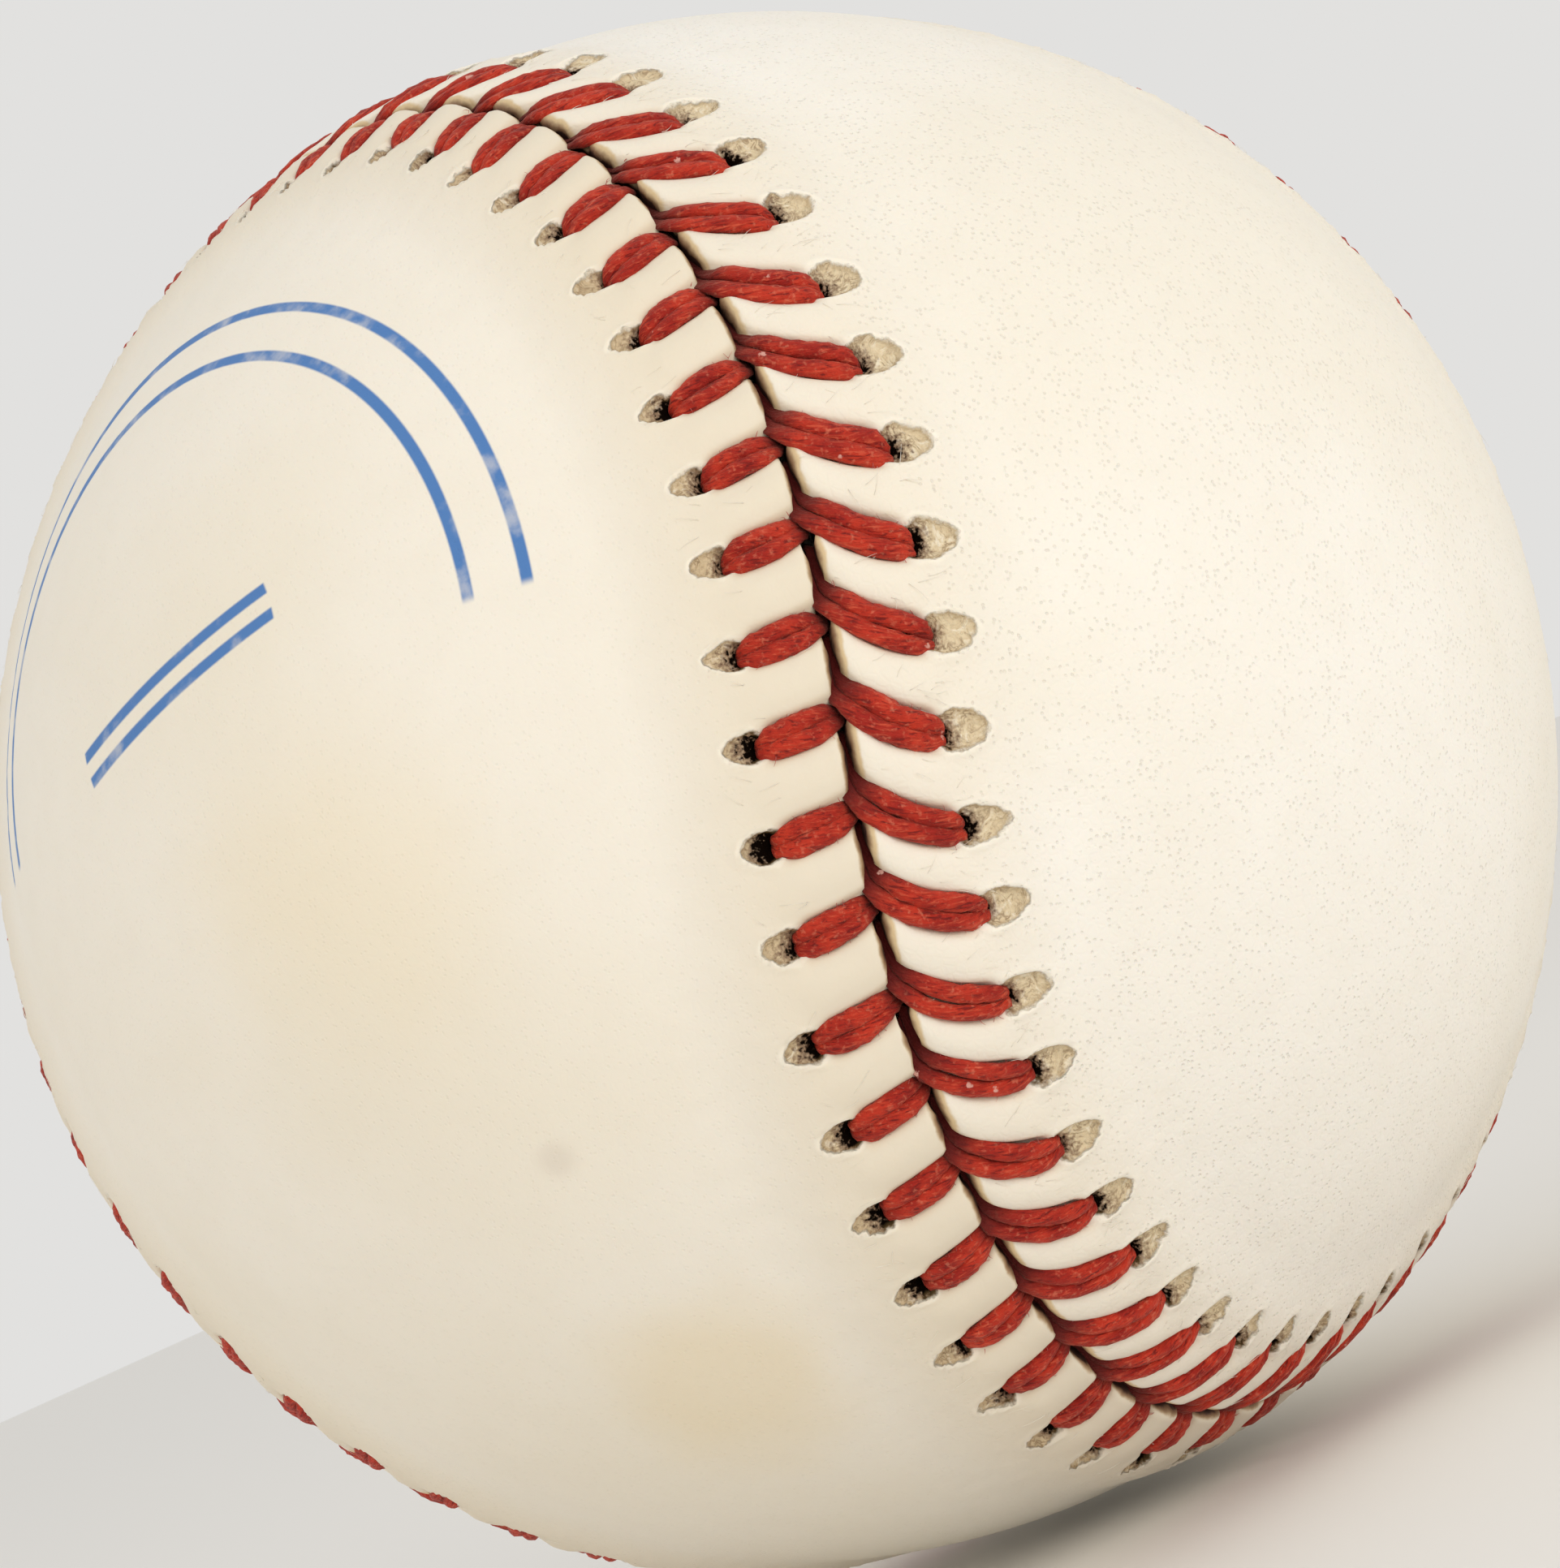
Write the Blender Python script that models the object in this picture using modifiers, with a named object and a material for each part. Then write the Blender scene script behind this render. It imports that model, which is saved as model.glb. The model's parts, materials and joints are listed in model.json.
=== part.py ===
"""A baseball, built from the middle out as the real one is.

A cork and rubber core sits in two black rubber half shells, which meet on a red rubber washer. Two red
rubber halves close over them. Four windings of yarn follow, then two figure-eight leather panels, laced
edge to edge by two waxed threads.

Frame: metres, with the origin at the ball's centre. The seam crosses +X, +Y, -X and -Y. +Z leaves through
the narrow waist of cover_panel_a, and -Z through the waist of cover_panel_b.

Lengths below are in millimetres, and MM turns them into Blender's metres. A place on the cover is given by
three numbers: the station, counted in stitches along the seam; the offset from the seam, positive on
cover_panel_a; and the radius.
"""

import math

import bmesh
import bpy
import numpy as np
from mathutils import geometry

MM = 0.001

# The cover: a regulation ball is 9 to 9 1/4 inches round. The two seam ratios set how far the seam swings to
# the sides and up, which leaves a waist of 26 to 27 mm, and the third eases its turns.
COVER_RADIUS = 37.0
LEATHER = 1.2
SEAM_SWING = 0.51
SEAM_RISE = 1.218
SEAM_EASE = -0.082
SEAM_RIDGE = 0.6
SLIT = 0.9
RIDGE_END = 9.0

# The lacing: 108 stitches, each with one hole in either panel.
STITCHES = 108
THREAD_RADIUS = 0.3
THREAD_LIFT = 0.12
HOLE_WIDTH = 1.3
HOLE_LENGTH = 2.1
THREAD_TAIL = 2.5
# For each panel: the side of the seam, the distance from the seam to its holes, the first hole's station,
# and how far along the seam a stitch leans between the seam and its hole.
PANELS = {
    "a": {"side": 1, "reach": 3.85, "first": 0.46, "lean": 2.2},
    "b": {"side": -1, "reach": 3.3, "first": 0.31, "lean": 0.2},
}

# Outer radius of each layer under the cover, from the regulation build.
CORE_RADIUS = 10.3
BLACK_RUBBER_RADIUS = 14.1
RED_RUBBER_RADIUS = 17.4
GREY_FOUR_PLY_RADIUS = 31.3
WHITE_THREE_PLY_RADIUS = 33.1
GREY_THREE_PLY_RADIUS = 35.1
FINISHING_RADIUS = 35.55
LAYER_GAP = 0.2
WASHER_HEIGHT = 0.8
FACE_GAP = 0.1

# Facets round each turned layer. They are the same on all, so that each layer clears the next all over.
SEGMENTS = 20
YARN_TAIL_ANGLE = math.radians(1.6)

SEAM_SAMPLES = 4320


def clear_scene():
    for obj in list(bpy.data.objects):
        bpy.data.objects.remove(obj, do_unlink=True)


def part_collection(name):
    collection = bpy.data.collections.new(name)
    bpy.context.scene.collection.children.link(collection)
    return collection


def plain_material(name, color, roughness):
    material = bpy.data.materials.new(name)
    material.use_nodes = True
    shader = material.node_tree.nodes["Principled BSDF"]
    shader.inputs["Base Color"].default_value = (*color, 1.0)
    shader.inputs["Roughness"].default_value = roughness
    return material


def add_part(collection, name, data, material):
    obj = bpy.data.objects.new(name, data)
    collection.objects.link(obj)
    data.materials.append(material)
    return obj


def seam_table():
    """Along one turn of the seam: the length so far, the unit point, and the unit vector into panel a."""
    turn = np.linspace(0.0, 2.0 * math.pi, SEAM_SAMPLES, endpoint=False)
    x = np.cos(turn) + SEAM_SWING * np.cos(3.0 * turn)
    y = np.sin(turn) - SEAM_SWING * np.sin(3.0 * turn)
    z = SEAM_RISE * np.sin(2.0 * turn) + SEAM_EASE * np.sin(6.0 * turn)
    points = np.column_stack([x, y, z])
    points /= np.linalg.norm(points, axis=1)[:, None]
    tangents = np.roll(points, -1, axis=0) - np.roll(points, 1, axis=0)
    sides = np.cross(points, tangents)
    sides /= np.linalg.norm(sides, axis=1)[:, None]
    points = np.vstack([points, points[:1]])
    sides = np.vstack([sides, sides[:1]])
    steps = np.linalg.norm(np.diff(points, axis=0), axis=1)
    lengths = np.concatenate([[0.0], np.cumsum(steps)])
    return lengths, points, sides


SEAM_LENGTHS, SEAM_POINTS, SEAM_SIDES = seam_table()
PITCH = SEAM_LENGTHS[-1] * COVER_RADIUS / STITCHES


def along_seam(station, table):
    """Reads a column of the seam table at a station, which may run past one turn."""
    length = np.mod(station, STITCHES) / STITCHES * SEAM_LENGTHS[-1]
    value = np.array([np.interp(length, SEAM_LENGTHS, column) for column in table.T])
    return value / np.linalg.norm(value)


def on_cover(station, offset, radius):
    """The place at this station along the seam, this far off it, at this radius, in millimetres."""
    point = along_seam(station, SEAM_POINTS)
    side = along_seam(station, SEAM_SIDES)
    angle = offset / COVER_RADIUS
    return radius * (math.cos(angle) * point + math.sin(angle) * side)


def offset_from_seam(direction):
    """How far a unit direction lies from the seam, positive on panel a."""
    nearest = np.argmax(SEAM_POINTS @ direction)
    cosine = min(1.0, float(SEAM_POINTS[nearest] @ direction))
    side = np.sign(float(SEAM_SIDES[nearest] @ direction))
    return side * math.acos(cosine) * COVER_RADIUS


def arc(radius, start, end, steps):
    """Points from one polar angle to another, in the XZ plane at +X."""
    angles = np.linspace(start, end, steps + 1)
    return [(radius * math.sin(angle), radius * math.cos(angle)) for angle in angles]


def turned(collection, name, profile, material, closed=True):
    """Turns a profile, given as (x, z) in millimetres, about Z. An open one starts and ends on the axis."""
    mesh = bpy.data.meshes.new(name)
    points = [(x * MM, 0.0, z * MM) for x, z in profile]
    edges = [(i, i + 1) for i in range(len(points) - 1)]
    if closed:
        edges.append((len(points) - 1, 0))
    mesh.from_pydata(points, edges, [])
    obj = add_part(collection, name, mesh, material)
    screw = obj.modifiers.new("Turn", "SCREW")
    screw.steps = SEGMENTS
    screw.render_steps = SEGMENTS
    screw.use_merge_vertices = True
    screw.merge_threshold = 0.00001
    return obj


def core_ball(collection, material):
    profile = arc(CORE_RADIUS, 0.0, math.pi, SEGMENTS // 2)
    return turned(collection, "cork_core", profile, material, closed=False)


def half_shell(collection, name, outer, inner, lift, upper, material):
    """Half of a hollow ball, cut flat at a height of lift, above the XY plane or mirrored below it."""
    steps = SEGMENTS // 4
    outside = arc(outer, 0.0, math.acos(lift / outer), steps)
    inside = arc(inner, math.acos(lift / inner), 0.0, steps)
    profile = outside + inside
    if not upper:
        profile = [(x, -z) for x, z in reversed(profile)]
    return turned(collection, name, profile, material)


def washer(collection, name, outer, inner, height, material):
    half = height / 2.0
    profile = [(inner, half), (outer, half), (outer, -half), (inner, -half)]
    return turned(collection, name, profile, material)


def winding(collection, name, outer, inner, material):
    """A hollow ball of wound yarn. The small opening at the top is where the yarn's end comes through."""
    steps = SEGMENTS // 2
    outside = arc(outer, YARN_TAIL_ANGLE, math.pi, steps)
    inside = arc(inner, math.pi, YARN_TAIL_ANGLE, steps)
    return turned(collection, name, outside + inside, material)


def band_rows(panel):
    """(offset, radius) of each row of a panel's laced band, from the seam inwards."""
    top = COVER_RADIUS + SEAM_RIDGE
    hole_end = panel["reach"] + HOLE_LENGTH
    return [(SLIT / 2.0, top), (panel["reach"], top), (hole_end, COVER_RADIUS + SEAM_RIDGE / 2.0)]


def laced_band(bm, panel):
    """The strip along the seam with the stitch holes. It returns the corners of its inner edge, in order."""
    rows = band_rows(panel)
    columns = 2 * STITCHES
    bmesh.ops.create_grid(bm, x_segments=columns, y_segments=len(rows) - 1, size=0.5)
    place = {}
    for vert in bm.verts:
        place[vert] = (round((vert.co.x + 0.5) * columns), round((vert.co.y + 0.5) * (len(rows) - 1)))
    holes = []
    for face in bm.faces:
        column = min(place[vert][0] for vert in face.verts)
        row = min(place[vert][1] for vert in face.verts)
        if column % 2 == 0 and row == 1:
            holes.append(face)
    bmesh.ops.delete(bm, geom=holes, context="FACES_ONLY")
    half_width = HOLE_WIDTH / 2.0 / PITCH
    inner_edge = []
    for vert, (column, row) in place.items():
        hole, second_side = divmod(column, 2)
        station = panel["first"] + hole + (half_width if second_side else -half_width)
        offset, radius = rows[row]
        vert.co = on_cover(station, panel["side"] * offset, radius * MM)
        if row == len(rows) - 1 and column < columns:
            inner_edge.append((column, vert.co.copy()))
    bmesh.ops.remove_doubles(bm, verts=bm.verts, dist=0.01 * MM)
    return [corner for _, corner in sorted(inner_edge, key=lambda entry: entry[0])]


def ball_points(panel, clear_of_seam):
    """The evenly spread corners of an icosphere that lie well inside a panel."""
    sphere = bmesh.new()
    bmesh.ops.create_icosphere(sphere, subdivisions=4, radius=1.0)
    found = []
    for vert in sphere.verts:
        offset = panel["side"] * offset_from_seam(np.array(vert.co))
        if offset > clear_of_seam:
            found.append(vert.co * COVER_RADIUS * MM)
    sphere.free()
    return found


def fill_middle(bm, panel, inner_edge):
    """Fills a panel inside its laced band. Seen from the far pole, the panel lies flat without folding."""
    ring = len(inner_edge)
    points = inner_edge + ball_points(panel, RIDGE_END)
    flat = []
    for point in points:
        unit = point.normalized()
        flat.append(unit.xy / (1.0 + panel["side"] * unit.z))
    outline = [(i, (i + 1) % ring) for i in range(ring)]
    filled = geometry.delaunay_2d_cdt(flat, outline, [], 1, 1e-7)
    corners = [bm.verts.new(points[sources[0]]) for sources in filled[3]]
    for face in filled[2]:
        bm.faces.new([corners[i] for i in face])
    bmesh.ops.remove_doubles(bm, verts=bm.verts, dist=0.01 * MM)


def face_outwards(bm):
    bm.normal_update()
    for face in bm.faces:
        if face.normal.dot(face.calc_center_median()) < 0.0:
            face.normal_flip()


def cover_panel(collection, name, panel, material):
    """One figure-eight panel of leather, as an open skin with Solidify inwards."""
    bm = bmesh.new()
    inner_edge = laced_band(bm, panel)
    fill_middle(bm, panel, inner_edge)
    face_outwards(bm)
    mesh = bpy.data.meshes.new(name)
    bm.to_mesh(mesh)
    bm.free()
    obj = add_part(collection, name, mesh, material)
    shell = obj.modifiers.new("Leather", "SOLIDIFY")
    shell.thickness = LEATHER * MM
    shell.offset = -1.0
    shell.use_even_offset = True
    return obj


def stitch(panel, number):
    """One stitch: up through its hole, over the leather to the seam, and down between the panels."""
    above = COVER_RADIUS + SEAM_RIDGE + THREAD_LIFT + THREAD_RADIUS
    below = (FINISHING_RADIUS + COVER_RADIUS + SEAM_RIDGE - LEATHER) / 2.0 + 0.02
    hole = panel["first"] + number
    seam = hole - panel["lean"] / PITCH
    across_hole = panel["side"] * (panel["reach"] + HOLE_LENGTH / 2.0)
    across_lip = panel["side"] * (panel["reach"] + THREAD_RADIUS)
    return [
        on_cover(hole, across_hole, below),
        on_cover(hole, across_lip, above),
        on_cover(seam, 0.0, above),
        on_cover(seam, 0.0, below),
    ]


def thread_route(first_panel):
    """A thread's way round the ball. It takes every stitch of the seam, on either panel in turn."""
    order = ["a", "b"] if first_panel == "a" else ["b", "a"]
    route = []
    for number in range(STITCHES):
        route += stitch(PANELS[order[number % 2]], number)
    last = PANELS[order[(STITCHES - 1) % 2]]
    end_station = STITCHES - 1 + last["first"] - last["lean"] / PITCH
    below = np.linalg.norm(route[-1])
    route.append(on_cover(end_station + 0.3, -last["side"] * THREAD_TAIL, below))
    return route


def seam_thread(collection, name, first_panel, material):
    curve = bpy.data.curves.new(name, "CURVE")
    curve.dimensions = "3D"
    curve.bevel_depth = THREAD_RADIUS * MM
    curve.bevel_resolution = 0
    curve.use_fill_caps = True
    route = thread_route(first_panel)
    spline = curve.splines.new("POLY")
    spline.points.add(len(route) - 1)
    for control, place in zip(spline.points, route):
        control.co = (*(place * MM), 1.0)
    return add_part(collection, name, curve, material)


def build_core(ball):
    cork = plain_material("cork", (0.42, 0.27, 0.15), 0.9)
    black_rubber = plain_material("black_rubber", (0.02, 0.02, 0.02), 0.6)
    red_rubber = plain_material("red_rubber", (0.45, 0.07, 0.05), 0.6)
    core_ball(ball, cork)
    cut = WASHER_HEIGHT / 2.0 + FACE_GAP
    inner = CORE_RADIUS + LAYER_GAP
    half_shell(ball, "black_rubber_half_upper", BLACK_RUBBER_RADIUS, inner, cut, True, black_rubber)
    half_shell(ball, "black_rubber_half_lower", BLACK_RUBBER_RADIUS, inner, cut, False, black_rubber)
    washer(ball, "red_rubber_washer", BLACK_RUBBER_RADIUS, inner, WASHER_HEIGHT, red_rubber)
    inner = BLACK_RUBBER_RADIUS + LAYER_GAP
    half_shell(ball, "red_rubber_half_upper", RED_RUBBER_RADIUS, inner, FACE_GAP, True, red_rubber)
    half_shell(ball, "red_rubber_half_lower", RED_RUBBER_RADIUS, inner, FACE_GAP, False, red_rubber)


def build_windings(ball):
    grey = (0.36, 0.35, 0.33)
    white = (0.75, 0.73, 0.68)
    layers = [
        ("winding_grey_four_ply", GREY_FOUR_PLY_RADIUS, grey),
        ("winding_white_three_ply", WHITE_THREE_PLY_RADIUS, white),
        ("winding_grey_three_ply", GREY_THREE_PLY_RADIUS, grey),
        ("winding_finishing_yarn", FINISHING_RADIUS, white),
    ]
    inner = RED_RUBBER_RADIUS + LAYER_GAP
    for name, outer, color in layers:
        winding(ball, name, outer, inner, plain_material(name, color, 0.95))
        inner = outer + LAYER_GAP / 2.0


def build_cover(ball):
    leather = plain_material("white_leather", (0.86, 0.81, 0.7), 0.5)
    waxed_thread = plain_material("red_waxed_thread", (0.5, 0.03, 0.02), 0.45)
    for letter, panel in PANELS.items():
        cover_panel(ball, f"cover_panel_{letter}", panel, leather)
        seam_thread(ball, f"seam_thread_{letter}", letter, waxed_thread)


def main():
    clear_scene()
    ball = part_collection("baseball")
    build_core(ball)
    build_windings(ball)
    build_cover(ball)


main()
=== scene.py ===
# %% [markdown]
# # A baseball, dressed over its measured frame
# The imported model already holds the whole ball, from the cork core out to the laced leather cover. It is true
# to size but plain. This notebook gives the cover its real relief and finish: two leather panels, the red
# stitches that pull them together, and the fibres that stand up along the seam. Everything under the cover
# keeps its shape and gets the finish of cork, moulded rubber or wound yarn.

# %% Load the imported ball
import json
import math

import bpy
import numpy as np
from mathutils import Matrix, Vector, geometry, noise


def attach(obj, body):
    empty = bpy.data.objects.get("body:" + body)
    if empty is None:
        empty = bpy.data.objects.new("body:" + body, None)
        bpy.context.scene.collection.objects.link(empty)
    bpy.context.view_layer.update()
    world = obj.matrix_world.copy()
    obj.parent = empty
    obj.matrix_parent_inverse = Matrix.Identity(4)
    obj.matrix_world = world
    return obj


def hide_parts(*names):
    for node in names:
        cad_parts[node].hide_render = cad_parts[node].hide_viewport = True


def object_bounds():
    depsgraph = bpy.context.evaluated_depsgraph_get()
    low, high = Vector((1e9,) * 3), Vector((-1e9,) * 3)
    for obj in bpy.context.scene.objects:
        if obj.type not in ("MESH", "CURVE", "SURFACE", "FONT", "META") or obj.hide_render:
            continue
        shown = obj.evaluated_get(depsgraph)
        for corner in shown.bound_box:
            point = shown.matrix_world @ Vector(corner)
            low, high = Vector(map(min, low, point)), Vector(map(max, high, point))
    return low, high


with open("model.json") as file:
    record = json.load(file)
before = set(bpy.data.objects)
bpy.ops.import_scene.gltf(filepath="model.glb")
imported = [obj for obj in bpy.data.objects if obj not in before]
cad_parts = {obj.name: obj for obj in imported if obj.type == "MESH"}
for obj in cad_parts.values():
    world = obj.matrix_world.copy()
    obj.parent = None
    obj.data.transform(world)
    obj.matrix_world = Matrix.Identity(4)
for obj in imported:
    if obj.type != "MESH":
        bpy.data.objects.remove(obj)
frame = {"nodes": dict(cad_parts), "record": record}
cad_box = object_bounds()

MM = 0.001
print("the ball measures", [round((high - low) / MM, 1) for low, high in zip(*cad_box)], "mm")

# %% [markdown]
# ## The camera
# A close view with a long lens: the ball nearly fills the picture, and the seam crosses it from upper left
# to lower right. The camera is placed by the direction from the ball's middle to the lens and by which way is
# up in the picture, because those two are easy to judge and give the whole turn of the camera.

# %% Place the camera
TO_CAMERA = Vector((-0.0906, -0.9944, -0.0549)).normalized()
PICTURE_UP = Vector((0.4061, -0.0872, 0.9097))
CAMERA_DISTANCE = 196.2 * MM
LENS = 92.8
LONG_SIDE = 1932
CENTRE_SHIFT = (2.35, 3.6)

right = PICTURE_UP.cross(TO_CAMERA).normalized()
picture_up = TO_CAMERA.cross(right)
bpy.ops.object.camera_add(location=TO_CAMERA * CAMERA_DISTANCE)
camera = bpy.context.object
camera.name = "camera"
camera.rotation_euler = Matrix((right, picture_up, TO_CAMERA)).transposed().to_euler()
camera.data.lens = LENS
camera.data.shift_x = -CENTRE_SHIFT[0] / LONG_SIDE
camera.data.shift_y = CENTRE_SHIFT[1] / LONG_SIDE
camera.data.clip_start = 0.01
bpy.context.scene.camera = camera
print("the lens is", round(CAMERA_DISTANCE / MM), "mm from the ball's middle")

# %% [markdown]
# ## Floor and light
# The ball stands on a plain pale floor in soft studio light. One large lamp by the camera's upper right
# shoulder lights the leather evenly and still throws a soft shadow under each stitch, a weaker and warmer one
# fills the other side, and the pale surroundings do the rest. Large lamps are used because a small one would
# give the leather a hard bright spot that soft leather never shows in such light.

# %% Lay the floor and hang the lamps
FLOOR_GAP = 0.9 * MM


def linear(code):
    """A hex sRGB colour as the linear RGBA that the shaders want."""
    values = [int(code[i : i + 2], 16) / 255.0 for i in (0, 2, 4)]
    curve = [v / 12.92 if v <= 0.04045 else ((v + 0.055) / 1.055) ** 2.4 for v in values]
    return (*curve, 1.0)


def first_output(node):
    """The first output that the node's settings leave in use."""
    return next(output for output in node.outputs if output.enabled)


def add_node(tree, kind, sockets=None, **settings):
    """Adds a node. A socket is given a value, or is linked to another node or to one of its outputs."""
    made = tree.nodes.new(kind)
    for name, value in settings.items():
        setattr(made, name, value)
    for socket, value in (sockets or {}).items():
        if isinstance(value, bpy.types.Node):
            value = first_output(value)
        if isinstance(value, bpy.types.NodeSocket):
            tree.links.new(value, made.inputs[socket])
        else:
            made.inputs[socket].default_value = value
    return made


def new_material(name):
    """An empty node material with its shader, ready for its sockets to be set."""
    material = bpy.data.materials.new(name)
    material.use_nodes = True
    return material, material.node_tree, material.node_tree.nodes["Principled BSDF"]


bpy.ops.object.select_all(action="DESELECT")
bpy.ops.mesh.primitive_plane_add(size=6.0, location=(0.0, 0.0, cad_box[0].z - FLOOR_GAP))
floor = bpy.context.object
floor.name = "floor"
paper, tree, shader = new_material("matt_background_paper")
shader.inputs["Base Color"].default_value = linear("F0EEEA")
shader.inputs["Roughness"].default_value = 0.85
floor.data.materials.append(paper)

world = bpy.data.worlds.new("pale_studio")
bpy.context.scene.world = world
world.use_nodes = True
world.node_tree.nodes["Background"].inputs["Color"].default_value = linear("F4F3F1")
world.node_tree.nodes["Background"].inputs["Strength"].default_value = 0.84
bpy.context.scene.view_settings.view_transform = "Standard"


def hang_lamp(name, direction, distance, size, watts, color):
    """A square soft lamp that faces the ball."""
    bpy.ops.object.light_add(type="AREA", location=direction.normalized() * distance)
    lamp = bpy.context.object
    lamp.name = name
    lamp.rotation_euler = direction.to_track_quat("Z", "Y").to_euler()
    lamp.data.size = size
    lamp.data.energy = watts
    lamp.data.color = linear(color)[:3]


KEY_FROM = TO_CAMERA + 0.65 * picture_up + 0.60 * right
FILL_FROM = TO_CAMERA - 0.20 * picture_up - 1.30 * right
hang_lamp("key", KEY_FROM, distance=0.60, size=0.40, watts=1.28, color="FFFAF4")
hang_lamp("fill", FILL_FROM, distance=0.70, size=0.30, watts=0.62, color="FFF4E8")
print("two lamps and a pale room light the ball")

# %% [markdown]
# ## The line of the seam
# A baseball's cover is two equal figure-eight panels. They meet on one closed line that swings four times
# across the ball. It is drawn here from a cosine and its third overtone, pushed out onto the ball, which is the
# classic way to draw it. Everything on the cover is then placed by three numbers: how far along the seam,
# how far from it, and how high above the leather. So a stitch can be modelled flat, as on a pattern board,
# and laid on the ball afterwards.

# %% Measure the seam and lay flat work on the ball
COVER_RADIUS = 37.0
STITCHES = 108
SEAM_SWING = 0.51
SEAM_RISE = 1.218
SEAM_EASE = -0.082
SEAM_SAMPLES = 4320

turn = np.linspace(0.0, 2.0 * math.pi, SEAM_SAMPLES + 1)
seam = np.column_stack([
    np.cos(turn) + SEAM_SWING * np.cos(3.0 * turn),
    np.sin(turn) - SEAM_SWING * np.sin(3.0 * turn),
    SEAM_RISE * np.sin(2.0 * turn) + SEAM_EASE * np.sin(6.0 * turn),
])
seam /= np.linalg.norm(seam, axis=1)[:, None]
ahead = np.vstack([seam[1:], seam[1:2]])
behind = np.vstack([seam[-2:-1], seam[:-1]])
sideways = np.cross(seam, ahead - behind)
sideways /= np.linalg.norm(sideways, axis=1)[:, None]
run = np.concatenate([[0.0], np.cumsum(np.linalg.norm(np.diff(seam, axis=0), axis=1))]) * COVER_RADIUS
PITCH = run[-1] / STITCHES


def lay_on_ball(along, offset, height):
    """Points in metres for distances in mm: along the seam, off it towards panel a, and above the leather."""
    place = np.mod(along, run[-1])
    centre = np.column_stack([np.interp(place, run, column) for column in seam.T])
    side = np.column_stack([np.interp(place, run, column) for column in sideways.T])
    angle = (offset / COVER_RADIUS)[:, None]
    point = np.cos(angle) * centre + np.sin(angle) * side
    point /= np.linalg.norm(point, axis=1)[:, None]
    return point * (COVER_RADIUS + height)[:, None] * MM


print("the seam is", round(run[-1]), "mm long, with a stitch every", round(PITCH, 2), "mm")

# %% [markdown]
# ## What the two panels' stitches are like
# Hand stitching is regular but never exact. The holes of panel a lie a little further from the seam, and its
# stitches lean hard into the slit, over the ends of panel b's, which run nearly straight across. A small
# seeded table of differences makes each stitch its own, and the leather and the thread both read it, so that
# each thread still lies in its own hollow and its own hole.

# %% Describe each panel's stitches
PANELS = {
    "a": {"side": 1, "first": 0.463, "reach": 3.85, "lean": (0.95, 1.6), "half_leg": 0.82,
          "slot": (2.35, 0.80), "slit": 0.13, "cut": 0.32, "girth": 1.03},
    "b": {"side": -1, "first": 0.306, "reach": 3.25, "lean": (0.65, 0.25), "half_leg": 0.70,
          "slot": (1.85, 0.62), "slit": 0.08, "cut": 0.15, "girth": 1.14},
}
dice = np.random.default_rng(108)
for panel in PANELS.values():
    panel["nudge"] = dice.normal(0.0, 0.07, STITCHES)
    panel["stretch"] = dice.normal(0.0, 0.10, STITCHES)
    panel["swell"] = dice.normal(0.0, 0.04, STITCHES)


def smooth(start, end, value):
    """0 before start, 1 after end, and a smooth step between them. start may be the larger."""
    t = np.clip((value - start) / (end - start), 0.0, 1.0)
    return t * t * (3.0 - 2.0 * t)


def lean_at(panel, offset, reach):
    """How far back along the seam a stitch lies from its hole, at an offset from the seam."""
    rest = 1.0 - np.clip(offset / reach, 0.0, 1.0)
    return -(panel["lean"][0] * rest + panel["lean"][1] * rest**3)


print("the stitches of panel a lean", round(sum(PANELS["a"]["lean"]), 1), "mm")

# %% [markdown]
# ## The leather along the seam
# Wet leather is stretched over the yarn, laced tight, and dries in that shape. The edges stand up as a low
# ridge, each stitch presses a hollow across it, and the leather between two stitches swells into a small
# pillow. At each hole the pull of the thread has torn a tan slot with a frayed lip.
# One way would be to sculpt this by hand. Here the strip along the seam starts as one fine grid. Its columns
# are close together where a stitch's hollow has its walls, they lean as the stitches lean, and a height is
# worked out for each corner. The grid is then laid on the ball.

# %% Work out the height of the leather
RIDGE = 0.62
HOLLOW = 0.50
PILLOW = 0.17
STRIP_END = 9.0
# Where the columns of one stitch stand, in mm across it. The first is on the border with the stitch before.
COLUMN_PLACES = (
    -PITCH / 2.0, -1.6, -1.35, -1.15, -1.0, -0.85, -0.7, -0.52, -0.3,
    0.0, 0.3, 0.52, 0.7, 0.85, 1.0, 1.15, 1.35, 1.6,
)
# The rows down the slit's wall, and then the rows over the top of the leather: mm off the slit, and mm deep.
WALL_ROWS = ((0.0, -1.15), (0.0, -0.75), (0.0, -0.35))
TOP_ROWS = np.concatenate([
    [0.0, 0.06, 0.13, 0.22, 0.33, 0.46, 0.60, 0.78],
    np.arange(0.98, 6.5, 0.198),
    [6.8, 7.2, 7.7, 8.3, STRIP_END],
])
SLOT_START = -0.25
SLOT_TAPER = 0.14


def slot_distance(slot, across, beyond):
    """1 on the outline of a slot, less inside. It narrows to a blunt point away from the seam."""
    length, half_width = slot
    middle = SLOT_START + length / 2.0
    width = half_width - SLOT_TAPER * np.clip(beyond - middle, -1.2, 1.2)
    return np.sqrt((across / width) ** 2 + ((beyond - middle) / (length / 2.0)) ** 2)


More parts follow.
